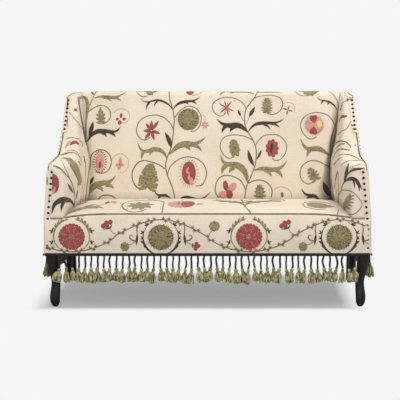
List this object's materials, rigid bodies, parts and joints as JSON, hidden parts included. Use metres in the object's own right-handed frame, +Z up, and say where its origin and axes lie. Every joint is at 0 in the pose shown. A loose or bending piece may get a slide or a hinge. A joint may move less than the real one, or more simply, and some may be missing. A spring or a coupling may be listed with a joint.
{
  "type": "two-seater sofa",
  "caption": "Upholstered two-seater sofa with shallow wings, swept arms, nailed borders, a tassel fringe round the base and short cabriole front legs",
  "frame": {"origin": "middle of the footprint's box, on the floor", "axes": "+X to the right of someone who looks at the front, +Y towards the back, +Z up"},
  "size_m": [1.4332, 0.7622, 0.913],
  "materials": {
    "embroidered_linen": "cream linen with crewel embroidery in red, olive and dark brown wool",
    "olive_fringe": "cut wool tassels in two tones of olive",
    "black_braid": "near-black braid and cord",
    "antique_brass": "antiqued domed nail heads",
    "ebonised_wood": "ebonised and polished",
    "stained_wood": "dark brown stain, satin",
    "frame_wood": "unfinished beech",
    "hair_stuffing": "curled hair under cotton felt",
    "hessian": "plain woven jute",
    "jute_webbing": "twilled jute",
    "black_cambric": "black dust cloth",
    "spring_steel": "coppered spring wire"
  },
  "bodies": {
    "root": {"arm_base_piping_left": "embroidered_linen", "arm_base_piping_right": "embroidered_linen", "arm_cover_left": "embroidered_linen", "arm_cover_right": "embroidered_linen", "arm_hessian_left": "hessian", "arm_hessian_right": "hessian", "arm_post_left": "frame_wood", "arm_post_right": "frame_wood", "arm_rail_left": "frame_wood", "arm_rail_right": "frame_wood", "arm_stuffing_left": "hair_stuffing", "arm_stuffing_right": "hair_stuffing", "arm_tack_rail_left": "frame_wood", "arm_tack_rail_right": "frame_wood", "back_cover": "embroidered_linen", "back_hessian": "hessian", "back_post_left": "frame_wood", "back_post_right": "frame_wood", "back_stuffing": "hair_stuffing", "back_tack_rail": "frame_wood", "back_top_rail": "frame_wood", "back_upright": "frame_wood", "back_webbing": "jute_webbing", "bottom_cloth": "black_cambric", "corner_blocks": "frame_wood", "fringe_hangers_front": "black_braid", "fringe_hangers_left": "black_braid", "fringe_hangers_right": "black_braid", "fringe_heading_front": "black_braid", "fringe_heading_left": "black_braid", "fringe_heading_right": "black_braid", "fringe_tassels_front": "olive_fringe", "fringe_tassels_left": "olive_fringe", "fringe_tassels_right": "olive_fringe", "front_border": "embroidered_linen", "front_leg_left": "ebonised_wood", "front_leg_right": "ebonised_wood", "front_seat_rail": "frame_wood", "nailheads_left": "antique_brass", "nailheads_right": "antique_brass", "outside_arm_left": "embroidered_linen", "outside_arm_right": "embroidered_linen", "outside_back": "embroidered_linen", "rear_leg_left": "stained_wood", "rear_leg_right": "stained_wood", "rear_seat_rail": "frame_wood", "seat_cover": "embroidered_linen", "seat_edge_piping": "embroidered_linen", "seat_edge_roll": "hair_stuffing", "seat_hessian": "hessian", "seat_springs": "spring_steel", "seat_stuffing": "hair_stuffing", "seat_webbing": "jute_webbing", "side_seat_rail_left": "frame_wood", "side_seat_rail_right": "frame_wood", "wing_post_left": "frame_wood", "wing_post_right": "frame_wood"}
  },
  "joints": []
}
